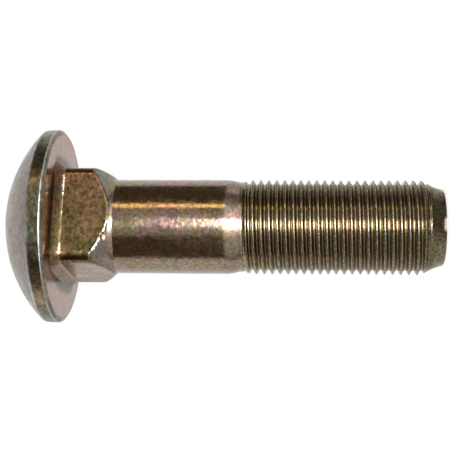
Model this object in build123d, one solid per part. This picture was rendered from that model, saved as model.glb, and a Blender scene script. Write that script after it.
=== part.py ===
from build123d import *
import os
from math import radians, sqrt, tan

# Wheel bolt, forged and thread-rolled from one bar: a low domed head, a short square neck that keys it in a
# disc, a plain shank and a fine right-hand thread. Z runs up the axis, from the flat point at z = 0 to the
# crown of the head, and the flats of the neck face X and Y. Millimetres and degrees.

# ---- driving dimensions -----------------------------------------------------------------------------------
LENGTH = 76.2               # point to bearing face, 3 in

HEAD_D = 39.0               # over the forging's parting line
BEARING_INSET = 0.7         # parting line in to the edge of the flat underside that bears on the disc
RIM_H = 3.0                 # bearing face to the edge of the dome
PARTING_H = 0.5             # parting line above the bearing face
RIM_DRAFT = 2.0             # draft of the rim above the parting line
DOME_H = 8.15               # crown above the rim
DOME_EDGE_R = 0.8           # rounding between rim and dome

NECK_AF = 19.5              # across the flats, to enter the square hole for a 3/4 in bolt
NECK_CORNER_R = 2.1         # rounding of its four corners
NECK_SQUARE_H = 7.5         # full square section, from the bearing face down
NECK_CONE_ANGLE = 45.0      # the forging die's cone, to the axis, that ends the corners
NECK_ROOT = 1.6             # gusset into the bearing face, a flat at 45 degrees
NECK_FOOT_R = 0.9           # fillet between the cone and the shank

SHANK_D = 18.9              # plain shank
REDUCER_ANGLE = 13.0        # shank down to the rolled blank, to the axis
BLANK_H = 0.6               # plain blank between the reducer and the thread

THREAD_D = 18.80            # over the crests of a 3/4 in external thread
THREADS_PER_INCH = 16
THREAD_H = 39.6             # point to the end of the run-out
DEPTH_SHARE = 0.537         # crest to root, in pitches
RUN_OUT_ANGLE = 15.5        # the crests fall and the roots rise at this angle to the axis
SPARE_TURNS = 2             # cut away beyond each end of the thread

POINT_D = 14.8              # flat end, before its edge is broken
POINT_CHAMFER = 0.4         # broken edge of the flat end
NOSE_H = 1.4                # slender nose of the point, from the flat end up
NOSE_ANGLE = 15.0           # taper of the nose, to the axis
POINT_ANGLE = 28.0          # taper of the point above the nose, to the axis

# ---- what follows from them -------------------------------------------------------------------------------
INCH = 25.4
PITCH = INCH / THREADS_PER_INCH
CREST_R = THREAD_D / 2
ROOT_R = CREST_R - DEPTH_SHARE * PITCH
BLANK_R = (CREST_R + ROOT_R) / 2                                        # rolling moves metal root to crest
SHANK_R = SHANK_D / 2
REDUCER_H = abs(SHANK_R - BLANK_R) / tan(radians(REDUCER_ANGLE))
SHANK_END_Z = THREAD_H + BLANK_H + REDUCER_H
CORNER_R = (NECK_AF / 2 - NECK_CORNER_R) * sqrt(2) + NECK_CORNER_R      # axis to a corner of the neck
NECK_END_Z = LENGTH - NECK_SQUARE_H - (CORNER_R - SHANK_R) / tan(radians(NECK_CONE_ANGLE))
NECK_JOIN_Z = NECK_END_Z - NECK_FOOT_R
TOLERANCE = 1e-3            # within which an edge counts as lying at a height


def corner_at(section, radius, height):
    """The corner of a half section that lies nearest to a point."""
    return section.vertices().sort_by_distance((radius, height, 0))[0]


def edges_at(solid, height):
    """The edges of a solid whose middle lies at a height."""
    return solid.edges().filter_by_position(Axis.Z, height - TOLERANCE, height + TOLERANCE)


def turned(section):
    """Solid of revolution about Z of a half section drawn as (radius, height)."""
    return revolve(Plane.XZ * section, Axis.Z)


def head():
    """Mushroom head: a disc with a drafted rim and a low parting line, cut to a dome by a sphere."""
    parting_r = HEAD_D / 2
    bearing_r = parting_r - BEARING_INSET
    edge_r = parting_r - (RIM_H - PARTING_H) * tan(radians(RIM_DRAFT))
    disc_h = RIM_H + 2 * DOME_H
    disc_r = parting_r - (disc_h - PARTING_H) * tan(radians(RIM_DRAFT))
    section = make_face(Polyline(
        (0, LENGTH), (bearing_r, LENGTH), (parting_r, LENGTH + PARTING_H), (disc_r, LENGTH + disc_h),
        (0, LENGTH + disc_h), close=True))
    dome_r = (edge_r ** 2 + DOME_H ** 2) / (2 * DOME_H)
    ball = Rot(0, 90, 0) * Sphere(dome_r)     # poles to the sides, clear of the crown
    solid = turned(section) & Pos(0, 0, LENGTH + RIM_H + DOME_H - dome_r) * ball
    return fillet(edges_at(solid, LENGTH + RIM_H), DOME_EDGE_R)


def square_neck():
    """Square bar with rounded corners, ended by the cone of the forging die where the shank begins."""
    flare_r = CORNER_R + NECK_CORNER_R
    flare_z = NECK_END_Z + (flare_r - SHANK_R) / tan(radians(NECK_CONE_ANGLE))
    top_z = flare_z + NECK_SQUARE_H
    die = make_face(Polyline(
        (0, NECK_JOIN_Z), (SHANK_R, NECK_JOIN_Z), (SHANK_R, NECK_END_Z), (flare_r, flare_z),
        (flare_r, top_z), (0, top_z), close=True))
    die = fillet(corner_at(die, SHANK_R, NECK_END_Z), NECK_FOOT_R)
    bar = extrude(RectangleRounded(NECK_AF, NECK_AF, NECK_CORNER_R), LENGTH - NECK_JOIN_Z)
    return turned(die) & Pos(0, 0, NECK_JOIN_Z) * bar


def shank():
    """Plain shank, the reducer, the blank, and the cone along which the roots of the thread run out."""
    core_r = ROOT_R / 2
    core_z = THREAD_H - (BLANK_R - core_r) / tan(radians(RUN_OUT_ANGLE))
    return turned(make_face(Polyline(
        (0, NECK_JOIN_Z), (SHANK_R, NECK_JOIN_Z), (SHANK_R, SHANK_END_Z), (BLANK_R, THREAD_H + BLANK_H),
        (BLANK_R, THREAD_H), (core_r, core_z), (0, core_z), close=True)))


def helix(radius, height):
    """One right-hand turn of a helix that starts over the X axis."""
    return Edge.make_helix(PITCH, PITCH, radius, center=(0, 0, height))


def threaded_rod(bottom, turns):
    """Thread of a whole number of turns, two flanks to a turn, closed at each end by a ramp and a step."""
    profile = [(ROOT_R, 0), (CREST_R, PITCH / 2), (ROOT_R, PITCH)]
    flanks = [Face.make_surface_from_curves(helix(*low), helix(*high))
              for low, high in zip(profile, profile[1:])]
    ramp = Face.make_surface_from_curves(Edge.make_line((0, 0, 0), (0, 0, PITCH)), helix(ROOT_R, 0))
    outline = [(0, 0, 0)] + [(radius, 0, height) for radius, height in profile] + [(0, 0, PITCH)]
    step = Face(Wire.make_polygon(outline, close=True))
    faces = [Pos(0, 0, turn * PITCH) * face for turn in range(turns) for face in flanks]
    faces += [Pos(0, 0, end * PITCH) * face for end in (0, turns) for face in (ramp, step)]
    return Pos(0, 0, bottom) * Solid(Shell(faces))


def threaded_end():
    """The rod cut to the tapered point at one end, and its crests to the run-out at the other."""
    clear_r = CREST_R + PITCH / 2
    point_r = POINT_D / 2
    nose_r = point_r + NOSE_H * tan(radians(NOSE_ANGLE))
    taper_z = NOSE_H + (clear_r - nose_r) / tan(radians(POINT_ANGLE))
    run_out_z = THREAD_H - (clear_r - BLANK_R) / tan(radians(RUN_OUT_ANGLE))
    end_z = THREAD_H + (BLANK_R - ROOT_R) / tan(radians(RUN_OUT_ANGLE))
    turns = int(end_z / PITCH) + 1 + 2 * SPARE_TURNS
    limits = make_face(Polyline(
        (0, 0), (point_r, 0), (nose_r, NOSE_H), (clear_r, taper_z), (clear_r, run_out_z), (ROOT_R, end_z),
        (0, end_z), close=True))
    limits = chamfer(corner_at(limits, point_r, 0), POINT_CHAMFER)
    return threaded_rod(-SPARE_TURNS * PITCH, turns) & turned(limits)


def wheel_bolt():
    """The whole bolt as one solid."""
    blank = head() + square_neck() + shank()
    neck_root = edges_at(blank, LENGTH).sort_by(SortBy.LENGTH)[:-1]     # all but the edge of the bearing face
    return chamfer(neck_root, NECK_ROOT) + threaded_end()


os.makedirs("parts", exist_ok=True)
bolt = wheel_bolt()
export_step(bolt, "parts/wheel_bolt.step")
print("wheel_bolt: volume", round(bolt.volume), "mm3, pitch", PITCH, "mm, root", round(2 * ROOT_R, 2), "mm")
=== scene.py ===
import logging
import math
from collections.abc import Callable
from dataclasses import dataclass, field, replace
from enum import Enum
from functools import cache

import bmesh
import bpy
import numpy as np
from mathutils import Matrix, Vector, noise

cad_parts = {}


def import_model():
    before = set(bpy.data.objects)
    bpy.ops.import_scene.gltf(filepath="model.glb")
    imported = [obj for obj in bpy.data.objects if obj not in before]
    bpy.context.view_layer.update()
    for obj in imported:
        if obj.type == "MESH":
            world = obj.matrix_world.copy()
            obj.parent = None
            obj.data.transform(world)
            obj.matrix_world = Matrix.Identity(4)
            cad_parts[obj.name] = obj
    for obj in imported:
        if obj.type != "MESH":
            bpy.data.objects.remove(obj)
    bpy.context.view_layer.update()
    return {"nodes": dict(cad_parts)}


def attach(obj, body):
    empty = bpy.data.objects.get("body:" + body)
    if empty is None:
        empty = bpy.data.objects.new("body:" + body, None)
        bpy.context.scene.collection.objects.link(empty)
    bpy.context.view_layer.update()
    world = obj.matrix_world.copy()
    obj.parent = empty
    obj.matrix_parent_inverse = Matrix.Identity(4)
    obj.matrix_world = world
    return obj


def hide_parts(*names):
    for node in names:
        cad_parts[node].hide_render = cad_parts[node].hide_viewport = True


# Wheel bolt standing on its flat point: forged head and neck, drawn shank, rolled thread. The classes hold
# millimetres, which become metres in their meshes. Z runs up the axis; the neck's flats face X and Y.
MM = 0.001
TURN = 2.0 * math.pi
COLUMNS = 160               # round the axis, shared by the thread and the blank so that they weld
CORNER_BUNCHING = 0.5       # share by which the columns crowd towards the neck's four corners
FLAT_BUNCHING = 0.5         # share by which the thread's rows crowd towards its crests and roots
TURNS_BELOW = 2             # turns of the thread's grid below the crest that it starts from
SPARE_TURNS = 3             # turns of the grid beyond the thread's height
WELD = 2e-6                 # metres within which two points are one
RELIEF = "relief"           # point attribute: -1 in a hollow, which gets a painted shade, 0 on plain metal, 1 on an edge that rubs
WORN_ROUGHNESS = 0.46
WHITE = (1.0, 1.0, 1.0, 1.0)
NECK_FRONT = -8.0           # mm, the scars lie in front of it, between these heights
SCARRED = (65.0, 75.6)
Colour = tuple[float, float, float]
Values = float | np.ndarray     # one for all the columns, or one for each
Socket = bpy.types.NodeSocket
Sockets = bpy.types.bpy_prop_collection
Tree = bpy.types.NodeTree

log = logging.getLogger("wheel_bolt")


def column_angle(share: float) -> float:
    """Angle in radians of a column at a share of the way round, crowded towards the neck's corners."""
    turn = TURN * share
    return turn + CORNER_BUNCHING / 4.0 * math.sin(4.0 * turn)


def bend_weights(share: float) -> tuple[float, float, float]:
    """Weights of a rounded corner's start, corner and end, at a share of the way round it."""
    return (1 - share) ** 2, 2 * share * (1 - share), share ** 2


class Finish(Enum):
    """The surfaces of the bolt, in the order of its material slots."""

    HEAD = 0
    RIM = 1
    BEARING = 2
    NECK = 3
    SHANK = 4
    THREAD = 5


@dataclass(frozen=True)
class Film:
    """One surface of passivated zinc over steel, from its tints to its texture."""

    name: str
    ground: Colour
    patch: Colour
    bloom: Colour
    rubbed: Colour
    # painted shade: the darker colour laid into hollows, the neck's corners and the gusset
    hollow_shade: Colour
    patch_size: float           # mm
    grain_size: float           # mm
    roughness: tuple[float, float]  # where it is smoothest and dullest
    dent_height: float          # mm
    grain_height: float         # mm
    contrast: float             # of the fine speckle
    wear: float                 # share of the rubbed tint on an edge
    grain_stretch: float = 1.0  # how far the grain is drawn out along the axis

    def material(self) -> bpy.types.Material:
        """Builds the node material of this surface.

        Returns:
            The material.
        """
        made = bpy.data.materials.new(self.name)
        made.use_nodes = True
        wiring = Wiring(made.node_tree)
        place = wiring.node("ShaderNodeTexCoord").outputs["Object"]
        relief = wiring.node("ShaderNodeAttribute", attribute_name=RELIEF).outputs["Fac"]
        tint = wiring.group(film_tint_group(), {
            "Vector": place, "Ground": (*self.ground, 1.0), "Patch": (*self.patch, 1.0),
            "Bloom": (*self.bloom, 1.0), "Patch Size": self.patch_size * MM,
            "Grain Size": self.grain_size * MM, "Contrast": self.contrast})
        wear = wiring.group(edge_wear_group(), {
            "Vector": place, "Film": tint["Color"], "Relief": relief, "Rubbed": (*self.rubbed, 1.0),
            "Hollow Shade": (*self.hollow_shade, 1.0), "Amount": self.wear})
        skin = wiring.group(skin_group(), {
            "Vector": place, "Dent Size": self.patch_size * MM, "Grain Size": self.grain_size * MM,
            "Stretch": self.grain_stretch, "Smooth": self.roughness[0], "Dull": self.roughness[1]})
        grain = wiring.math("MULTIPLY", skin["Grain"], self.grain_height)
        height = wiring.math("MULTIPLY_ADD", skin["Dents"], self.dent_height, grain)
        bump = wiring.node("ShaderNodeBump", {"Strength": 1.0, "Distance": MM, "Height": height})
        dull = wiring.node("ShaderNodeMix", {0: wear["Share"], 2: skin["Roughness"], 3: WORN_ROUGHNESS})
        shader = made.node_tree.nodes["Principled BSDF"].inputs
        shader["Metallic"].default_value = 1.0
        wiring.feed(shader["Base Color"], wear["Color"])
        wiring.feed(shader["Roughness"], dull.outputs[0])
        wiring.feed(shader["Normal"], bump.outputs["Normal"])
        return made


class Wiring:
    """Adds nodes to one tree, each fed with values or with other nodes' outputs."""

    def __init__(self, tree: Tree) -> None:
        """Takes the tree to work on."""
        self.tree = tree

    def feed(self, socket: Socket, value: object) -> None:
        """Links an output to an input, or sets the input's value.

        Args:
            socket: the input.
            value: an output, or what the input is set to.
        """
        if isinstance(value, Socket):
            self.tree.links.new(value, socket)
        else:
            socket.default_value = value

    def node(self, kind: str, feeds: dict | None = None, **settings: object) -> bpy.types.Node:
        """Adds a node.

        Args:
            kind: the node's type name.
            feeds: an output or a value for each of its inputs, by number or name.
            settings: properties of the node.
        Returns:
            The node.
        """
        node = self.tree.nodes.new(kind)
        for name, value in settings.items():
            setattr(node, name, value)
        for name, value in (feeds or {}).items():
            self.feed(node.inputs[name], value)
        return node

    def group(self, shared: Tree, feeds: dict) -> Sockets:
        """Places a shared group and returns its outputs."""
        return self.node("ShaderNodeGroup", feeds, node_tree=shared).outputs

    def math(self, operation: str, *values: object) -> Socket:
        """Adds a Math node and returns its output."""
        return self.node("ShaderNodeMath", dict(enumerate(values)), operation=operation).outputs[0]

    def noise(self, place: Socket, scale: object, detail: float,
              distortion: float = 0.0) -> Socket:
        """Adds a noise texture and returns its value."""
        feeds = {"Vector": place, "Scale": scale, "Detail": detail, "Distortion": distortion}
        return self.node("ShaderNodeTexNoise", feeds).outputs[0]

    def blend(self, share: object, first: object, second: object, how: str = "MIX") -> Socket:
        """Mixes two colours and returns the result."""
        feeds = {0: share, 6: first, 7: second}
        return self.node("ShaderNodeMix", feeds, data_type="RGBA", blend_type=how).outputs[2]

    def dot(self, place: Socket, direction: Vector) -> Socket:
        """How far a place lies along a direction."""
        feeds = {0: place, 1: direction}
        return self.node("ShaderNodeVectorMath", feeds, operation="DOT_PRODUCT").outputs["Value"]

    def ramp(self, value: object, low: float, high: float, top: float = 1.0) -> Socket:
        """Smooth step from 0 to top as a value goes from low to high."""
        feeds = {0: value, 1: low, 2: high, 3: 0.0, 4: top}
        return self.node("ShaderNodeMapRange", feeds, interpolation_type="SMOOTHSTEP").outputs[0]

    def spread(self, value: Socket, bottom: object, top: object) -> Socket:
        """Spreads the range that noise mostly keeps to, 0.3 to 0.7, from bottom to top."""
        return self.node("ShaderNodeMapRange", {0: value, 1: 0.3, 2: 0.7, 3: bottom, 4: top}).outputs[0]


class GroupMaker(Wiring):
    """Builds a shader node group with named sockets."""

    def __init__(self, name: str, inputs: dict[str, tuple], outputs: dict[str, tuple]) -> None:
        """Starts a group.

        Args:
            name: the group's name.
            inputs: names of the inputs of each kind: Vector, Color or Float.
            outputs: names of the outputs of each kind.
        """
        super().__init__(bpy.data.node_groups.new(name, "ShaderNodeTree"))
        for way, kinds in (("INPUT", inputs), ("OUTPUT", outputs)):
            for kind, names in kinds.items():
                for socket in names:
                    self.tree.interface.new_socket(socket, in_out=way, socket_type="NodeSocket" + kind)
        self.source = self.tree.nodes.new("NodeGroupInput").outputs
        self.result = self.tree.nodes.new("NodeGroupOutput").inputs

    def per(self, count: float, size: str) -> Socket:
        """Scale of a noise with a number of periods to the length that an input gives."""
        return self.math("DIVIDE", count, self.source[size])

    def put(self, name: str, value: Socket) -> None:
        """Links a value to one of the group's outputs."""
        self.tree.links.new(value, self.result[name])


@cache
def film_tint_group() -> Tree:
    """Mottled tints of a passivated film: patches, a bluish bloom and a fine speckle.

    Returns:
        The shared group.
    """
    group = GroupMaker("film_tint", {
        "Vector": ("Vector",), "Color": ("Ground", "Patch", "Bloom"),
        "Float": ("Patch Size", "Grain Size", "Contrast")}, {"Color": ("Color",)})
    read = group.source
    wide = group.noise(read["Vector"], group.per(0.6, "Patch Size"), detail=4.0, distortion=0.6)
    middling = group.noise(read["Vector"], group.per(1.9, "Patch Size"), detail=3.0, distortion=0.3)
    fine = group.noise(read["Vector"], group.per(0.8, "Grain Size"), detail=2.0)
    colour = group.blend(group.ramp(wide, 0.36, 0.64), read["Ground"], read["Patch"])
    bloom = group.math("MULTIPLY", group.ramp(middling, 0.52, 0.74), 0.75)
    colour = group.blend(bloom, colour, read["Bloom"])
    light = group.spread(fine, group.math("SUBTRACT", 1.0, read["Contrast"]),
                         group.math("ADD", 1.0, read["Contrast"]))
    grey = group.node("ShaderNodeCombineColor", {0: light, 1: light, 2: light}).outputs[0]
    group.put("Color", group.blend(1.0, colour, grey, "MULTIPLY"))
    return group.tree


@cache
def edge_wear_group() -> Tree:
    """Rubbed metal on the edges, broken up by noise, and a painted shade in the hollows: a darker colour.

    Returns:
        The shared group.
    """
    group = GroupMaker("edge_wear", {
        "Vector": ("Vector",), "Color": ("Film", "Rubbed", "Hollow Shade"), "Float": ("Relief", "Amount")},
        {"Color": ("Color",), "Float": ("Share",)})
    read = group.source
    broken = group.ramp(group.noise(read["Vector"], 900.0, detail=3.0), 0.3, 0.62)
    rubbed = group.math("MULTIPLY", group.ramp(read["Relief"], 0.15, 0.85), read["Amount"])
    share = group.math("MULTIPLY", rubbed, group.math("MULTIPLY_ADD", broken, 0.6, 0.4))
    # painted shade: the hollow colour takes over where the relief falls below zero
    painted_shade = group.ramp(group.math("MULTIPLY", read["Relief"], -1.0), 0.1, 0.95)
    colour = group.blend(painted_shade, read["Film"], read["Hollow Shade"])
    group.put("Color", group.blend(share, colour, read["Rubbed"]))
    group.put("Share", share)
    return group.tree


@cache
def skin_group() -> Tree:
    """Texture of the metal's skin: shallow dents, fine grain along the axis and uneven dullness.

    Returns:
        The shared group.
    """
    group = GroupMaker("metal_skin", {
        "Vector": ("Vector",), "Float": ("Dent Size", "Grain Size", "Stretch", "Smooth", "Dull")},
        {"Float": ("Roughness", "Dents", "Grain")})
    read = group.source
    split = group.node("ShaderNodeSeparateXYZ", {0: read["Vector"]}).outputs
    along = group.math("DIVIDE", split[2], read["Stretch"])
    drawn = group.node("ShaderNodeCombineXYZ", {0: split[0], 1: split[1], 2: along}).outputs[0]
    dull = group.noise(read["Vector"], group.per(1.1, "Dent Size"), detail=5.0, distortion=0.5)
    group.put("Roughness", group.spread(dull, read["Smooth"], read["Dull"]))
    group.put("Dents", group.noise(read["Vector"], group.per(1.4, "Dent Size"), detail=3.0))
    group.put("Grain", group.noise(drawn, group.per(0.7, "Grain Size"), detail=3.0))
    return group.tree


@dataclass
class RolledThread:
    """Right-hand rolled thread, from the flat point to where it runs out in the blank."""

    pitch: float = 1.5875
    crest_radius: float = 9.40
    root_radius: float = 8.5475
    blank_radius: float = 8.974
    top: float = 39.6
    run_out_angle: float = 15.5
    start: float = 1.285        # height of a crest over the X axis
    rows: int = 16              # to a turn
    crest_half: float = 0.143   # half the flat of a crest
    flank_slope: float = math.tan(math.radians(60))     # fall of the radius over the height
    root_blend: float = 0.16    # of a flank into the root
    crest_blend: float = 0.10   # of a flank into the crest
    point_radius: float = 7.50
    point_angle: float = 15.0
    lead_radius: float = 7.03   # the steeper cone of the first threads, carried to the flat end
    lead_angle: float = 28.0
    lead_blend: float = 0.2     # of one cone into the other
    end_radius: float = 7.08    # the flat end inside its broken edge
    end_slope: float = 1.8      # rise of the broken edge's radius over the height
    end_blend: float = 0.08     # of the broken edge into the cone
    point_blend: float = 0.12   # of the thread into the point
    bright_height: float = 0.35     # of the end's edge that rubs
    bright_relief: float = 0.9      # relief on it

    def mesh(self) -> bpy.types.Mesh:
        """Runs the node tree and returns the thread as a plain mesh.

        Returns:
            An open tube, welded along its helical seam.
        """
        holder = bpy.data.objects.new("thread_holder", bpy.data.meshes.new("thread_holder"))
        bpy.context.scene.collection.objects.link(holder)
        modifier = holder.modifiers.new("thread", "NODES")
        modifier.node_group = self._tree()
        names = {item.name: item.identifier for item in modifier.node_group.interface.items_tree}
        for name, value in self._inputs().items():
            modifier[names[name]] = value
        shown = holder.evaluated_get(bpy.context.evaluated_depsgraph_get())
        made = bpy.data.meshes.new_from_object(shown)
        bpy.data.objects.remove(holder)
        return made

    def _inputs(self) -> dict[str, float | int]:
        """Works out what the tree's named inputs are set to.

        Returns:
            Lengths in metres, then slopes, then counts.
        """
        lengths = ("pitch", "crest_radius", "root_radius", "blank_radius", "top", "point_radius",
                   "lead_radius", "end_radius", "start")
        slopes = {"Point": self.point_angle, "Lead": self.lead_angle, "Run-out": self.run_out_angle}
        turns = math.ceil(self.top / self.pitch) + SPARE_TURNS
        return {
            **{name.replace("_", " ").title(): getattr(self, name) * MM for name in lengths},
            **{name + " Slope": math.tan(math.radians(angle)) for name, angle in slopes.items()},
            "Turns": turns, "Rows": self.rows, "Columns": COLUMNS}

    def _tree(self) -> Tree:
        """Builds the geometry node tree: a helical grid, held between its two ends.

        Returns:
            The tree.
        """
        tree = bpy.data.node_groups.new("rolled_thread", "GeometryNodeTree")
        for name, value in self._inputs().items():
            kind = "NodeSocketInt" if isinstance(value, int) else "NodeSocketFloat"
            tree.interface.new_socket(name, in_out="INPUT", socket_type=kind)
        tree.interface.new_socket("Mesh", in_out="OUTPUT", socket_type="NodeSocketGeometry")
        read = tree.nodes.new("NodeGroupInput").outputs
        wiring = Wiring(tree)
        calc = wiring.math
        across = calc("ADD", read["Columns"], 1.0)
        along = calc("MULTIPLY_ADD", read["Turns"], read["Rows"], 1.0)
        grid = wiring.node("GeometryNodeMeshGrid", {"Vertices X": along, "Vertices Y": across})
        index = wiring.node("GeometryNodeInputIndex").outputs[0]
        row = calc("FLOOR", calc("DIVIDE", calc("ADD", index, 0.5), across))
        column = calc("SUBTRACT", index, calc("MULTIPLY", row, across))
        share = calc("MULTIPLY", calc("DIVIDE", column, read["Columns"]), TURN)
        corners = calc("SINE", calc("MULTIPLY", share, 4.0))
        angle = calc("MULTIPLY_ADD", corners, CORNER_BUNCHING / 4.0, share)
        turn = calc("DIVIDE", angle, TURN)

        # height: rows climb by a pitch over a turn of the helix, and stop at both ends
        step = calc("DIVIDE", row, read["Rows"])
        flats = calc("SINE", calc("MULTIPLY", step, 2.0 * TURN))
        step = calc("MULTIPLY_ADD", flats, -FLAT_BUNCHING / (2.0 * TURN), step)
        turns = calc("SUBTRACT", calc("ADD", step, turn), float(TURNS_BELOW))
        free = calc("MULTIPLY_ADD", turns, read["Pitch"], read["Start"])
        height = calc("MINIMUM", calc("MAXIMUM", free, 0.0), read["Top"])

        # radius: the thread, held within the two cones of the point and its broken edge
        rolled = self._rolled(calc, read, height, turn)
        nose = calc("MULTIPLY_ADD", height, read["Point Slope"], read["Point Radius"])
        lead = calc("MULTIPLY_ADD", height, read["Lead Slope"], read["Lead Radius"])
        edge = calc("MULTIPLY_ADD", height, self.end_slope, read["End Radius"])
        cones = calc("SMOOTH_MAX", nose, lead, self.lead_blend * MM)
        point = calc("SMOOTH_MIN", cones, edge, self.end_blend * MM)
        radius = calc("SMOOTH_MIN", rolled, point, self.point_blend * MM)
        spot = wiring.node("ShaderNodeCombineXYZ", {
            0: calc("MULTIPLY", radius, calc("COSINE", angle)),
            1: calc("MULTIPLY", radius, calc("SINE", angle)), 2: height})
        place = wiring.node("GeometryNodeSetPosition", {
            "Geometry": grid.outputs["Mesh"], "Position": spot.outputs[0]})

        # relief: from -1 in the root, where it paints shade, to 1 on the crest, 0 on the point, and bright on
        # the end's edge
        middle = calc("MULTIPLY", calc("ADD", read["Crest Radius"], read["Root Radius"]), 0.5)
        half = calc("MULTIPLY", calc("SUBTRACT", read["Crest Radius"], read["Root Radius"]), 0.5)
        relief = calc("DIVIDE", calc("SUBTRACT", radius, middle), half)
        on_thread = calc("LESS_THAN", calc("SUBTRACT", rolled, point), 0.0)
        on_edge = calc("LESS_THAN", height, self.bright_height * MM)
        bright = calc("MULTIPLY", on_edge, self.bright_relief)
        store = wiring.node("GeometryNodeStoreNamedAttribute", {
            "Geometry": place.outputs[0], "Name": RELIEF,
            "Value": calc("MULTIPLY_ADD", relief, on_thread, bright)}, data_type="FLOAT", domain="POINT")
        weld = wiring.node("GeometryNodeMergeByDistance", {"Geometry": store.outputs[0], "Distance": WELD})
        wiring.node("NodeGroupOutput", {0: weld.outputs[0]})
        return tree

    def _rolled(self, calc: Callable, read: Sockets, height: Socket, turn: Socket) -> Socket:
        """Radius of the thread: flanks between a rounded root and a rounded crest, and the run-out.

        Args:
            calc: adds a Math node to the tree.
            read: the tree's inputs.
            height: of the point, in metres.
            turn: share of a turn that the point stands at.
        Returns:
            The radius in metres.
        """
        lead = calc("SUBTRACT", calc("DIVIDE", calc("SUBTRACT", height, read["Start"]), read["Pitch"]), turn)
        pitches = calc("ABSOLUTE", calc("SUBTRACT", lead, calc("ROUND", lead)))
        from_crest = calc("MULTIPLY", pitches, read["Pitch"])
        down = calc("SUBTRACT", from_crest, self.crest_half * MM)
        flank = calc("MULTIPLY_ADD", down, -self.flank_slope, read["Crest Radius"])
        rolled = calc("SMOOTH_MAX", flank, read["Root Radius"], self.root_blend * MM)
        rolled = calc("SMOOTH_MIN", rolled, read["Crest Radius"], self.crest_blend * MM)
        to_top = calc("MULTIPLY", calc("SUBTRACT", read["Top"], height), read["Run-out Slope"])
        rolled = calc("MINIMUM", rolled, calc("ADD", read["Blank Radius"], to_top))
        return calc("MAXIMUM", rolled, calc("SUBTRACT", read["Blank Radius"], to_top))

class RowStack:
    """Rows of points round the axis, from the thread to the crown, with their relief and finish."""

    def __init__(self) -> None:
        """Works out the direction of each column, and starts with no rows."""
        self.angle = np.array([column_angle(i / COLUMNS) for i in range(COLUMNS)])
        self.around = np.stack([np.cos(self.angle), np.sin(self.angle)], axis=1)
        self.points: list[np.ndarray] = []
        self.relief: list[np.ndarray] = []
        self.finish: list[Finish] = []

    def add(self, spots: np.ndarray, height: Values, edge: Values, kind: Finish) -> None:
        """Adds a row.

        Args:
            spots: x and y of each column, in mm.
            height: in mm.
            edge: its relief.
            kind: finish of the faces below the row.
        """
        self.points.append(np.column_stack([spots, height * np.ones(COLUMNS)]))
        self.relief.append(edge * np.ones(COLUMNS))
        self.finish.append(kind)

    def ring(self, radius: Values, height: Values, edge: float, kind: Finish) -> None:
        """Adds a row from its radius."""
        self.add(self.around * np.reshape(radius, (-1, 1)), height, edge, kind)


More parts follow.
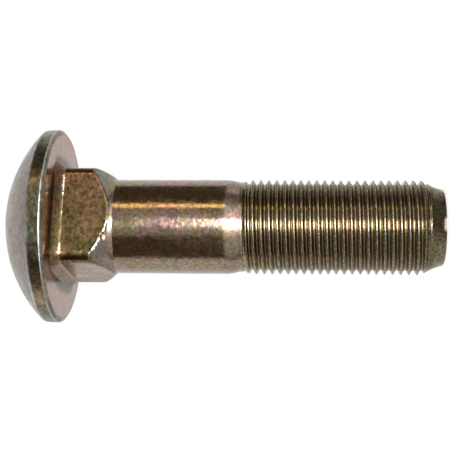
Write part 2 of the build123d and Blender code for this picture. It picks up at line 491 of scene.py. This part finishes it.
@dataclass
class ForgedBlank:
    """All of the bolt above its thread: blank, reducer, shank, square neck and mushroom head."""

    thread_top: float = 39.6
    blank_radius: float = 8.974
    blank_top: float = 40.2
    shank_bottom: float = 42.263
    shank_radius: float = 9.45
    neck_half: float = 9.75
    neck_corner: float = 2.1
    neck_foot: float = 65.23
    foot_fillet: float = 1.5
    cone_angle: float = 45.0
    cone_steps: int = 12
    crease_round: float = 0.45
    bearing_height: float = 76.2
    root_rise: float = 1.6
    root_reach: float = 1.6
    root_start: tuple[float, float] = (0.11, 0.15)      # out and up of the gusset's first row
    root_steps: int = 7
    crease_relief: float = 0.3
    # painted shade on the neck's corners, as a negative relief
    corner_shade: float = -0.7
    corner_reach: float = 2.2   # to where a corner's painted shade ends
    # painted shade in the gusset, as a negative relief
    gusset_shade: float = -0.45
    bearing_radius: float = 18.8
    parting_radius: float = 19.5
    parting_height: float = 76.7
    rim_radius: float = 19.413
    rim_height: float = 79.2
    crown_height: float = 87.35

    def __post_init__(self) -> None:
        """Starts with no rows, and works out the neck's outline with its outward normals."""
        self.stack = RowStack()
        self.square, self.outward = self._square(self.stack.angle)

    def columns(self) -> tuple[np.ndarray, np.ndarray, list[Finish]]:
        """Works out every column's points from the thread to the last ring round the crown.

        Returns:
            Points of rows by columns by 3 in mm, their relief, and each row's finish.
        """
        self._add_shank()
        self._add_neck(self._add_cone())
        self._add_gusset()
        self._add_bearing()
        return np.stack(self.stack.points), np.stack(self.stack.relief), self.stack.finish

    def _add_shank(self) -> None:
        """Adds the blank, the reducer and the shank, up to the fillet at the neck's foot."""
        foot = self._foot_start()
        section = rounded([
            (self.blank_radius, self.thread_top), (self.blank_radius, self.blank_top, 0.5, 2),
            (self.shank_radius, self.shank_bottom, 1.6, 5), (self.shank_radius, foot)])
        for radius, height, edge in section[:-1]:
            self.stack.ring(radius, height, edge * 0.3, Finish.SHANK)
        plain = np.linspace(self.shank_bottom + 2.2, foot - 0.6, 16)
        for height in (*plain, foot - 0.25, foot - 0.08, foot):
            self.stack.ring(self.shank_radius, height, 0.0, Finish.SHANK)

    def _add_cone(self) -> np.ndarray:
        """Adds the die's fillet and cone up to the neck's creases, and the creases' rounding.

        Returns:
            Height at which each column leaves the crease.
        """
        ring, reach = self.stack.ring, np.hypot(self.square[:, 0], self.square[:, 1])
        crease = self._die_length(reach)
        gap = np.minimum(self.crease_round, crease * 0.5)
        for step in range(1, self.cone_steps + 1):
            radius, height = self._die(step / self.cone_steps * (crease - gap))
            ring(radius, height, 0.0, Finish.SHANK if step < self.cone_steps / 2 else Finish.HEAD)
        corner_r, corner_z = self._die(crease)
        below_r, below_z = self._die(crease - gap)
        above_z = corner_z + gap
        for step in (0.15, 0.3, 0.45, 0.6, 0.75, 0.9, 1.0):
            a, b, c = bend_weights(step)
            ring(a * below_r + b * corner_r + c * reach, a * below_z + b * corner_z + c * above_z,
                 self.crease_relief * math.sin(step ** 1.8 * math.pi), Finish.NECK)
        return above_z

    def _add_neck(self, bottom: np.ndarray) -> None:
        """Adds the neck's sides, with a painted shade on its corners.

        Args:
            bottom: height of the sides' lower edge on each column.
        """
        # the corners get a painted shade, fading away from each diagonal
        off_diagonal = np.abs(np.abs(self.square[:, 0]) - np.abs(self.square[:, 1]))
        corner = np.clip(1.0 - off_diagonal / self.corner_reach, 0.0, 1.0)
        top = self.bearing_height - self.root_rise
        middle = (bottom + (top - bottom) * share for share in np.linspace(0.08, 0.94, 12))
        for height in (bottom + 0.08, *middle, top - 0.16):
            self.stack.add(self.square, height, corner * self.corner_shade, Finish.NECK)

    def _add_gusset(self) -> None:
        """Adds the gusset at the neck's root, which meets the sides and the bearing face at an angle."""
        foot = self.bearing_height - self.root_rise
        out_start, up_start = self.root_start
        for out, up, edge in ((0.012, -0.06, 0.3), (0.05, 0.05, 0.3), (out_start, up_start, 0.0)):
            self.stack.add(self.square + self.outward * out, foot + up, edge, Finish.NECK)
        for step in range(1, self.root_steps + 1):
            a, b, c = bend_weights(step / self.root_steps)
            out = out_start * a + 0.45 * self.root_reach * b + self.root_reach * c
            up = up_start * a + 0.57 * self.root_rise * b + self.root_rise * c
            # the gusset's rows carry a painted shade
            self.stack.add(self.square + self.outward * out, foot + up, self.gusset_shade, Finish.NECK)

    def _add_bearing(self) -> None:
        """Adds the bearing face, with a painted shade beside the neck, and the rim."""
        stack, inner = self.stack, self.square + self.outward * (self.root_reach + 0.06)
        start, *bend, _ = rounded([
            (self.bearing_radius - 2.0, self.bearing_height),
            (self.bearing_radius, self.bearing_height, 0.22, 4),
            (self.parting_radius, self.parting_height, 0.17, 4), (self.rim_radius, self.rim_height)])
        for share in np.linspace(0.0, 1.0, 9):
            spots = inner * (1 - share) + start[0] * stack.around * share
            # painted shade on the bearing face beside the neck, fading outwards
            dark = -np.clip(1.25 - share / 0.5, 0.0, 1.0)
            stack.add(spots, self.bearing_height, dark, Finish.BEARING)
        stack.ring(bend[0][0] - 0.12, bend[0][1], 0.0, Finish.BEARING)
        for radius, height, edge in bend:
            on_parting = height > self.bearing_height + 0.3
            stack.ring(radius, height, edge if on_parting else 0.1, Finish.RIM)
        radius, height, _ = bend[-1]
        drop = (radius - self.rim_radius) / (self.rim_height - height)
        rises = (0.12, 0.4, 0.8, 1.2, 1.6)
        for up in rises:
            stack.ring(radius - drop * up, height + up, 0.0, Finish.RIM)
        self._add_dome((radius - drop * rises[-1], height + rises[-1]))

    def _add_dome(self, last: tuple[float, float]) -> None:
        """Adds the dome: a cap of one sphere, with its edge rounded into the rim.

        Args:
            last: radius and height of the rim's last ring.
        """
        rise = self.crown_height - self.rim_height
        sphere = (self.rim_radius ** 2 + rise ** 2) / (2 * rise)
        centre = self.crown_height - sphere
        wide = math.asin(self.rim_radius / sphere)
        start, *cap = [(sphere * math.sin(wide * share), centre + sphere * math.cos(wide * share))
                       for share in (0.96, 0.945, *np.linspace(0.92, 0.03, 24))]
        section = rounded([last, (self.rim_radius, self.rim_height, 0.45, 5), start])
        for radius, height, edge in section[1:-1]:
            self.stack.ring(radius, height, edge, Finish.RIM)
        for radius, height in cap:
            self.stack.ring(radius, height, 0.0, Finish.HEAD)

    def _foot_start(self) -> float:
        """Height at which the fillet at the neck's foot leaves the shank."""
        return self.neck_foot - self.foot_fillet * math.tan(math.radians(self.cone_angle) / 2)

    def _die(self, length: np.ndarray) -> tuple[np.ndarray, np.ndarray]:
        """Radius and height on the die's fillet and cone, at a distance along them.

        Args:
            length: distance from the start of the fillet.
        Returns:
            The radius and the height.
        """
        bend = math.radians(self.cone_angle)
        arc = self.foot_fillet * bend
        swing = np.minimum(length, arc) / self.foot_fillet
        past = np.maximum(length - arc, 0.0)
        radius = self.shank_radius + self.foot_fillet * (1 - np.cos(swing)) + past * math.sin(bend)
        return radius, self._foot_start() + self.foot_fillet * np.sin(swing) + past * math.cos(bend)

    def _die_length(self, radius: np.ndarray) -> np.ndarray:
        """Distance along the die at which it has a radius."""
        bend = math.radians(self.cone_angle)
        out = radius - self.shank_radius
        turned = self.foot_fillet * (1 - math.cos(bend))
        swing = np.arccos(1 - np.minimum(out, turned) / self.foot_fillet)
        return self.foot_fillet * swing + np.maximum(out - turned, 0.0) / math.sin(bend)

    def _square(self, angle: np.ndarray) -> tuple[np.ndarray, np.ndarray]:
        """The neck's outline, a square with rounded corners.

        Args:
            angle: where each column stands.
        Returns:
            The outline's point over each angle and its outward normal there.
        """
        turn = np.round(angle / (math.pi / 2)) * (math.pi / 2)
        local = angle - turn
        inner = self.neck_half - self.neck_corner
        limit = math.atan2(inner, self.neck_half)
        flat = np.abs(local) <= limit
        side, half = np.sign(local), np.abs(local)
        along = inner * (np.cos(half) + np.sin(half))
        ray = along + np.sqrt(np.maximum(along ** 2 - (2 * inner ** 2 - self.neck_corner ** 2), 0.0))
        corner_x, corner_y = ray * np.cos(half), ray * np.sin(half)
        x = np.where(flat, self.neck_half, corner_x)
        y = np.where(flat, self.neck_half * np.tan(np.clip(local, -limit, limit)), side * corner_y)
        normal = np.where(flat, 0.0, side * np.arctan2(corner_y - inner, corner_x - inner))
        spot = np.stack([x * np.cos(turn) - y * np.sin(turn), x * np.sin(turn) + y * np.cos(turn)], axis=1)
        return spot, np.stack([np.cos(normal + turn), np.sin(normal + turn)], axis=1)


@dataclass(frozen=True)
class Scar:
    """A burr, or a nick, along a line drawn on the neck's front, with a painted highlight along a burr and a
    painted shade in a nick.
    """

    line: tuple[tuple[float, float], ...]   # x and z of its points, mm
    reach: float    # half its width, mm
    lift: float     # mm, negative in a nick
    jagged: float   # mm
    painted_light: float    # relief along its middle: rubbed metal that is also a painted highlight on a burr, a painted shade in a nick

    def share(self, spot: Vector) -> float:
        """How far a point on the front of the neck is inside the scar.

        Args:
            spot: the point, in mm.
        Returns:
            1 on the scar's line, falling to 0 at its edge.
        """
        here, nearest = Vector((spot.x, spot.z)), math.inf
        for start, end in zip(self.line, self.line[1:]):
            begin, along = Vector(start), Vector(end) - Vector(start)
            where = min(max((here - begin).dot(along) / along.length_squared, 0.0), 1.0)
            nearest = min(nearest, (here - begin - along * where).length)
        left = max(1.0 - nearest / self.reach, 0.0)
        return left * left * (3.0 - 2.0 * left)


def rounded(corners: list[tuple]) -> list[tuple[float, float, float]]:
    """Rounds the corners of a half section.

    Args:
        corners: radius and height of each, then its rounding and number of steps if it has one.
    Returns:
        Radius, height and edge relief of each point.
    """
    points = []
    for i, (r, z, *bend) in enumerate(corners):
        if not bend:
            points.append((r, z, 0.0))
            continue
        size, steps = bend
        here = np.array([r, z])
        back, ahead = (np.array(corners[j][:2]) - here for j in (i - 1, i + 1))
        cut = min(size, 0.45 * np.linalg.norm(back), 0.45 * np.linalg.norm(ahead))
        a = here + back / np.linalg.norm(back) * cut
        b = here + ahead / np.linalg.norm(ahead) * cut
        for step in range(steps + 1):
            first, middle, last = bend_weights(step / steps)
            spot = first * a + middle * here + last * b
            points.append((float(spot[0]), float(spot[1]), math.sin(math.pi * (step / steps * 0.8 + 0.1))))
    return points


# burrs along the crease and the gusset's edge, which carry a painted highlight, and the nick, which carries a
# painted shade
SCARS = (
    Scar(((-1.6, 65.72), (-2.6, 65.92), (-3.4, 66.15), (-3.9, 66.36), (-4.25, 66.72)), 0.34, 0.07, 0.1, 1.0),
    Scar(((-4.9, 66.75), (-5.6, 67.08), (-6.6, 67.52), (-7.7, 68.22)), 0.54, 0.10, 0.12, 1.0),
    Scar(((-4.35, 66.8), (-4.3, 67.3), (-4.15, 67.8)), 0.24, 0.06, 0.08, 0.7),
    Scar(((-4.45, 66.3), (-4.95, 66.4)), 0.55, -0.28, 0.10, -0.8),
    Scar(((7.6, 74.62), (6.6, 74.56), (5.6, 74.62), (4.0, 74.58)), 0.30, 0.03, 0.09, 0.9),
    Scar(((0.3, 74.6), (0.0, 74.6)), 0.26, 0.03, 0.08, 0.8),
    Scar(((-6.3, 74.6), (-8.3, 74.6)), 0.34, 0.03, 0.05, 0.95),
)
FILMS = {
    Finish.HEAD: Film(
        "head_film", ground=(0.28, 0.215, 0.20), patch=(0.235, 0.215, 0.16), bloom=(0.175, 0.245, 0.24),
        rubbed=(0.62, 0.68, 0.70), hollow_shade=(0.14, 0.09, 0.05), patch_size=2.6, grain_size=0.5,
        roughness=(0.24, 0.40), dent_height=0.06, grain_height=0.014, contrast=0.28, wear=0.8),
    Finish.RIM: Film(
        "rim_film", ground=(0.26, 0.20, 0.12), patch=(0.12, 0.12, 0.08), bloom=(0.24, 0.24, 0.22),
        rubbed=(0.55, 0.62, 0.66), hollow_shade=(0.10, 0.07, 0.03), patch_size=4.2, grain_size=0.6,
        roughness=(0.22, 0.40), dent_height=0.11, grain_height=0.03, contrast=0.5, wear=0.85),
    Finish.BEARING: Film(
        "bearing_film", ground=(0.37, 0.20, 0.15), patch=(0.34, 0.22, 0.145), bloom=(0.31, 0.24, 0.20),
        rubbed=(0.42, 0.42, 0.40), hollow_shade=(0.02, 0.004, 0.001), patch_size=3.4, grain_size=0.5,
        roughness=(0.15, 0.26), dent_height=0.035, grain_height=0.012, contrast=0.2, wear=1.0),
    Finish.NECK: Film(
        "neck_film", ground=(0.28, 0.15, 0.09), patch=(0.17, 0.13, 0.055), bloom=(0.17, 0.16, 0.14),
        rubbed=(0.66, 0.64, 0.58), hollow_shade=(0.075, 0.038, 0.012), patch_size=4.4, grain_size=0.5,
        grain_stretch=0.6, roughness=(0.18, 0.34), dent_height=0.09, grain_height=0.035, contrast=0.55,
        wear=1.0),
    Finish.SHANK: Film(
        "shank_film", ground=(0.315, 0.205, 0.18), patch=(0.265, 0.215, 0.125), bloom=(0.20, 0.225, 0.22),
        rubbed=(0.45, 0.45, 0.41), hollow_shade=(0.2, 0.14, 0.08), patch_size=2.4, grain_size=0.5,
        grain_stretch=1.2, roughness=(0.13, 0.25), dent_height=0.03, grain_height=0.016, contrast=0.32,
        wear=0.4),
    Finish.THREAD: Film(
        "thread_film", ground=(0.28, 0.205, 0.15), patch=(0.24, 0.22, 0.11), bloom=(0.20, 0.22, 0.21),
        rubbed=(0.31, 0.325, 0.305), hollow_shade=(0.20, 0.155, 0.09), patch_size=2.0, grain_size=0.4,
        roughness=(0.13, 0.25), dent_height=0.02, grain_height=0.006, contrast=0.6, wear=0.15),
}


@dataclass
class WheelBolt:
    """The whole bolt as one closed mesh in several finishes."""

    thread: RolledThread = field(default_factory=RolledThread)
    blank: ForgedBlank = field(default_factory=ForgedBlank)
    end_edge: tuple[float, float] = (0.8, 6.9)  # uneven below this height and beyond this radius
    forged_from: float = 66.0   # height at which the head's and neck's unevenness begins
    forged_fade: float = 4.0    # height over which it grows
    forged_waves: tuple[tuple[float, float], ...] = ((0.030, 6.0), (0.012, 2.2))    # lift and size

    def __post_init__(self) -> None:
        """Starts the mesh with the thread, which brings the relief attribute."""
        self.made = bmesh.new()
        self.made.from_mesh(self.thread.mesh())
        self.layer = self.made.verts.layers.float[RELIEF]
        for face in self.made.faces:
            face.material_index = Finish.THREAD.value

    def build(self) -> bpy.types.Object:
        """Builds the rest of the mesh, welds its parts and dresses it.

        Returns:
            The finished object.
        """
        self._add_blank()
        self._add_point()
        made = self.made
        bmesh.ops.remove_doubles(made, verts=made.verts, dist=WELD)
        bmesh.ops.dissolve_degenerate(made, dist=1e-7, edges=made.edges)
        bmesh.ops.recalc_face_normals(made, faces=made.faces)
        self._add_scars()
        self._forge_unevenly()
        for face in made.faces:
            face.smooth = True
        open_edges = sum(len(edge.link_faces) != 2 for edge in made.edges)
        log.info("bolt mesh: %d faces, %d open edges", len(made.faces), open_edges)
        mesh = bpy.data.meshes.new("forged_bolt")
        made.to_mesh(mesh)
        made.free()
        for kind in Finish:
            mesh.materials.append(FILMS[kind].material())
        piece = bpy.data.objects.new("forged_bolt", mesh)
        bpy.context.scene.collection.objects.link(piece)
        return piece

    def _face(self, corners: tuple[bmesh.types.BMVert, ...], kind: Finish) -> None:
        """Adds a face in one of the finishes."""
        self.made.faces.new(corners).material_index = kind.value

    def _add_blank(self) -> None:
        """Adds the forged blank as a grid of columns and rows, closed at the crown."""
        points, relief, finish = self.blank.columns()
        grid = []
        for row, edges in zip(points, relief):
            grid.append([self.made.verts.new(Vector(spot) * MM) for spot in row])
            for vert, edge in zip(grid[-1], edges):
                vert[self.layer] = edge
        for low, high, kind in zip(grid, grid[1:], finish[1:]):
            for j in range(COLUMNS):
                k = (j + 1) % COLUMNS
                self._face((low[j], low[k], high[k], high[j]), kind)
        crown = self.made.verts.new((0, 0, self.blank.crown_height * MM))
        for j in range(COLUMNS):
            self._face((grid[-1][j], grid[-1][(j + 1) % COLUMNS], crown), Finish.HEAD)

    def _add_point(self) -> None:
        """Closes the bolt at its flat point."""
        rings = []
        for radius in (self.thread.end_radius, 6.8, 5.0, 2.5):
            spots = (Vector((radius * x, radius * y, 0)) for x, y in self.blank.stack.around)
            rings.append([self.made.verts.new(spot * MM) for spot in spots])
        middle = self.made.verts.new((0, 0, 0))
        for j in range(COLUMNS):
            k = (j + 1) % COLUMNS
            for outer, inner in zip(rings, rings[1:]):
                self._face((outer[j], inner[j], inner[k], outer[k]), Finish.THREAD)
            self._face((rings[-1][j], middle, rings[-1][k]), Finish.THREAD)

    def _add_scars(self) -> None:
        """Raises the burrs and presses in the nick on the neck's front, painting a highlight along the burrs
        and shade in the nick.
        """
        def shares(vert: bmesh.types.BMVert, scars: list[Scar]) -> list[float]:
            """How far a vertex is inside each scar, or nothing away from the neck's front."""
            spot, (low, high) = vert.co / MM, SCARRED
            return [scar.share(spot) for scar in scars] if spot.y < NECK_FRONT and low < spot.z < high else []

        # the mesh is finer in the scars and a little way round them
        made = self.made
        wider = [replace(scar, reach=scar.reach + 0.25) for scar in SCARS]
        inside = {vert for vert in made.verts if any(share > 0.0 for share in shares(vert, wider))}
        edges = [edge for edge in made.edges if edge.verts[0] in inside and edge.verts[1] in inside]
        bmesh.ops.subdivide_edges(made, edges=edges, cuts=3, use_grid_fill=True)
        made.normal_update()
        moves = []
        for vert in made.verts:
            for scar, share in zip(SCARS, shares(vert, SCARS)):
                if share > 0.0:
                    lift = share * (scar.lift + scar.jagged * noise.noise(vert.co / (0.28 * MM)))
                    # painted highlight on a burr, painted shade in the nick
                    edge = scar.painted_light * share * (0.75 + 0.5 * noise.noise(vert.co / (0.5 * MM)))
                    moves.append((vert, vert.normal * lift * MM, edge))
        for vert, move, edge in moves:
            vert.co += move
            vert[self.layer] = max(vert[self.layer], edge) if edge > 0.0 else min(vert[self.layer], edge)

    def _forge_unevenly(self) -> None:
        """Moves the skin of the head and neck, and the end's edge, by a few hundredths of a millimetre."""
        self.made.normal_update()
        moves = []
        for vert in self.made.verts:
            if vert.co.z < self.end_edge[0] * MM and vert.co.xy.length > self.end_edge[1] * MM:
                level = Vector((vert.co.x, vert.co.y, 0.0)).normalized()
                moves.append((vert, level * (0.05 * noise.noise(vert.co / (0.6 * MM)) * MM)))
            ramp = min(max((vert.co.z / MM - self.forged_from) / self.forged_fade, 0.0), 1.0)
            if ramp > 0.0:
                uneven = sum(lift * noise.noise(vert.co / (size * MM)) for lift, size in self.forged_waves)
                moves.append((vert, vert.normal * (ramp * uneven * MM)))
        for vert, move in moves:
            vert.co += move


@dataclass(frozen=True)
class Panel:
    """A soft lamp that faces the bolt."""

    name: str
    angle: float                # degrees from the camera's side, up in the view
    height: float               # of its middle above the floor, m
    reach: float                # from the axis, m
    size: tuple[float, float]   # across and upright, m
    radiance: float             # 1 is white
    colour: Colour


@dataclass
class Studio:
    """Camera, lamps, world and floor."""

    neck_turn: float = 16.4     # degrees from the neck's flat to the line of sight
    distance: float = 228.38    # mm
    height: float = 24.47       # mm
    tilt: float = 4.68          # degrees up towards the head
    roll: float = 0.246         # degrees
    lens: float = 90.74         # mm
    lift: float = 0.197         # mm that the camera stands up in the view
    room: Colour = (0.115, 0.085, 0.048)
    panels: tuple[Panel, ...] = (
        Panel("front_panel", 10.5, 0.26, 0.9, (1.14, 0.52), 0.46, (0.90, 0.92, 0.90)),
        Panel("key_panel", 9.2, 0.051, 0.9, (0.29, 0.102), 14.0, (1.0, 0.98, 0.95)),
        Panel("top_panel", 6.5, 1.3, 0.75, (1.1, 0.5), 0.50, (1.0, 0.96, 0.93)),
        Panel("warm_strip", 52.0, 0.18, 0.9, (0.13, 0.34), 3.9, (1.0, 0.77, 0.38)),
    )

    def __post_init__(self) -> None:
        """Works out the level directions from the bolt to the camera and up in its view."""
        turn = math.radians(self.neck_turn)
        self.to_camera = Vector((-math.sin(turn), -math.cos(turn), 0))
        self.side = Vector((math.cos(turn), -math.sin(turn), 0))

    def build(self) -> None:
        """Sets up everything round the bolt."""
        self._camera()
        self._world()
        self._floor()
        for panel in self.panels:
            self._light(panel)
        bpy.context.scene.view_settings.view_transform = "Standard"

    def _direction(self, angle: float) -> Vector:
        """Level direction at some degrees from the camera's side, turned up in its view."""
        turn = math.radians(angle)
        return self.to_camera * math.cos(turn) + self.side * math.sin(turn)

    def _camera(self) -> None:
        """Creates the camera."""
        tilt, roll = math.radians(self.tilt), math.radians(self.roll)
        x, y = -self.to_camera.x, -self.to_camera.y
        ahead = Vector((x * math.cos(tilt), y * math.cos(tilt), math.sin(tilt)))
        right = Vector((x * math.sin(tilt), y * math.sin(tilt), -math.cos(tilt)))
        across = right * math.cos(roll) + self.side * math.sin(roll)
        upward = self.side * math.cos(roll) - right * math.sin(roll)
        spot = self.to_camera * self.distance + self.side * self.lift + Vector((0, 0, self.height))
        lens = bpy.data.cameras.new("camera")
        lens.lens = self.lens
        lens.sensor_width = 36.0
        lens.clip_start, lens.clip_end = 0.01, 100.0
        camera = bpy.data.objects.new("camera", lens)
        bpy.context.scene.collection.objects.link(camera)
        matrix = Matrix((across, upward, -ahead)).transposed().to_4x4()
        matrix.translation = spot * MM
        camera.matrix_world = matrix
        bpy.context.scene.camera = camera

    def _light(self, panel: Panel) -> None:
        """Adds a panel, turned to the bolt's middle.

        Args:
            panel: the lamp.
        """
        lamp = bpy.data.lights.new(panel.name, "AREA")
        lamp.shape = "RECTANGLE"
        lamp.size, lamp.size_y = panel.size
        lamp.energy = panel.radiance * math.pi * panel.size[0] * panel.size[1]
        lamp.color = panel.colour
        holder = bpy.data.objects.new(panel.name, lamp)
        bpy.context.scene.collection.objects.link(holder)
        holder.location = self._direction(panel.angle) * panel.reach + Vector((0, 0, panel.height))
        aim = Vector((0, 0, 0.045)) - holder.location
        holder.rotation_mode = "QUATERNION"
        holder.rotation_quaternion = aim.to_track_quat("-Z", "Y")

    def _world(self) -> None:
        """White world for the camera, and for other rays a white sweep behind the bolt and a dim room."""
        world = bpy.data.worlds.new("studio")
        bpy.context.scene.world = world
        world.use_nodes = True
        world.node_tree.nodes.clear()
        wiring = Wiring(world.node_tree)
        place = wiring.node("ShaderNodeTexCoord").outputs["Generated"]
        front = (self._direction(18.0) - Vector((0, 0, 0.21))).normalized()
        behind, far_behind = math.cos(math.radians(98.0)), math.cos(math.radians(108.0))
        sweep = wiring.ramp(wiring.dot(place, front), behind, far_behind)
        upward = wiring.node("ShaderNodeSeparateXYZ", {0: place}).outputs["Z"]
        pale = wiring.math("MAXIMUM", sweep, wiring.ramp(upward, 0.62, 0.80, top=0.2))
        seen = wiring.node("ShaderNodeLightPath").outputs["Is Camera Ray"]
        colour = wiring.blend(wiring.math("MAXIMUM", pale, seen), (*self.room, 1.0), WHITE)
        back = wiring.node("ShaderNodeBackground", {"Color": colour}).outputs[0]
        wiring.node("ShaderNodeOutputWorld", {"Surface": back})

    def _floor(self) -> None:
        """Plain pale floor, white to the eye, which keeps the bolt's shadow; reflections see a painted
        reflection on it instead.
        """
        mesh = bpy.data.meshes.new("floor")
        half = 6.0
        corners = [(-half, -half, 0), (half, -half, 0), (half, half, 0), (-half, half, 0)]
        mesh.from_pydata(corners, [], [(0, 1, 2, 3)])
        floor = bpy.data.objects.new("floor", mesh)
        bpy.context.scene.collection.objects.link(floor)
        made = bpy.data.materials.new("floor")
        made.use_nodes = True
        nodes = made.node_tree.nodes
        wiring = Wiring(made.node_tree)
        path = wiring.node("ShaderNodeLightPath").outputs
        shader = nodes["Principled BSDF"]
        shader.inputs["Roughness"].default_value = 0.9
        shader.inputs["Specular IOR Level"].default_value = 0.1
        # painted reflection: glossy rays see the floor darker, and glowing where it stands in for lamps
        painted_reflection_tone = wiring.blend(path["Is Glossy Ray"], (0.8, 0.8, 0.8, 1), (0.2, 0.2, 0.2, 1))
        wiring.feed(shader.inputs["Base Color"], painted_reflection_tone)
        painted_reflection = wiring.math("MULTIPLY", self._painted_reflection(wiring), path["Is Glossy Ray"])
        strength = wiring.math("MULTIPLY_ADD", path["Is Camera Ray"], 0.72, painted_reflection)
        glow = wiring.node("ShaderNodeEmission", {"Strength": strength})
        both = wiring.node("ShaderNodeAddShader", {0: shader.outputs[0], 1: glow.outputs[0]})
        wiring.feed(nodes["Material Output"].inputs["Surface"], both.outputs[0])
        mesh.materials.append(made)

    def _painted_reflection(self, wiring: Wiring) -> Socket:
        """Painted reflection, seen only by glossy rays: a pale sweep behind the bolt, a dark foreground and
        glowing patches that stand in for lamps.

        Args:
            wiring: adds nodes to the floor's material.
        Returns:
            The glow's strength.
        """
        calc, ramp = wiring.math, wiring.ramp
        place = wiring.node("ShaderNodeTexCoord").outputs["Object"]
        toward = self._direction(8.0)
        aside = wiring.dot(place, Vector((0, 0, 1)).cross(toward))
        angle = calc("ARCTAN2", aside, wiring.dot(place, toward))
        reach = wiring.node("ShaderNodeVectorMath", {0: place}, operation="LENGTH").outputs["Value"]

        def away(middle: float, low: float, high: float) -> Socket:
            """0 round a direction from the axis, rising to 1 between two angles from it, in degrees."""
            off = calc("ABSOLUTE", calc("SUBTRACT", angle, math.radians(middle)))
            return ramp(off, math.radians(low), math.radians(high))

        def inverse(share: Socket) -> Socket:
            """1 less a share."""
            return calc("SUBTRACT", 1.0, share)

        # painted light: these patches glow only in reflections, though no lamp lights them
        narrow = inverse(away(-2, 5, 13))
        strip = calc("MULTIPLY_ADD", ramp(reach, 0.16, 0.26), -11.0, 20.0)
        painted_glow = 0.0
        for directions, strength, distances in (
                (narrow, strip, ramp(reach, 0.036, 0.050)),  # below the key panel
                (inverse(away(-15, 40, 95)), 0.6, ramp(reach, 0.0105, 0.014)),  # soft, from near the foot
                (inverse(away(5, 15, 50)), 1.0, ramp(reach, 0.034, 0.044)),  # soft, further out
                (away(18, 20, 70), 0.45, inverse(ramp(reach, 0.0095, 0.011))),  # sides, close to the foot
                (narrow, 2.4, inverse(ramp(reach, 0.0079, 0.0087)))):  # under the end's edge
            painted_glow = calc("ADD", painted_glow, calc("MULTIPLY", calc("MULTIPLY", directions, strength), distances))
        sweep = calc("MULTIPLY_ADD", ramp(wiring.dot(place, -self.to_camera), -0.007, 0.009), 0.62, 0.10)
        return calc("ADD", painted_glow, sweep)


def main() -> None:
    """Builds the bolt on its frame and the studio round it."""
    logging.basicConfig(level=logging.INFO, format="%(name)s: %(message)s")
    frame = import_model()
    log.info("frame nodes: %s", sorted(frame["nodes"]))
    piece = WheelBolt().build()
    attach(piece, "root")
    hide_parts("wheel_bolt")
    Studio().build()


if __name__ == "__main__":
    main()
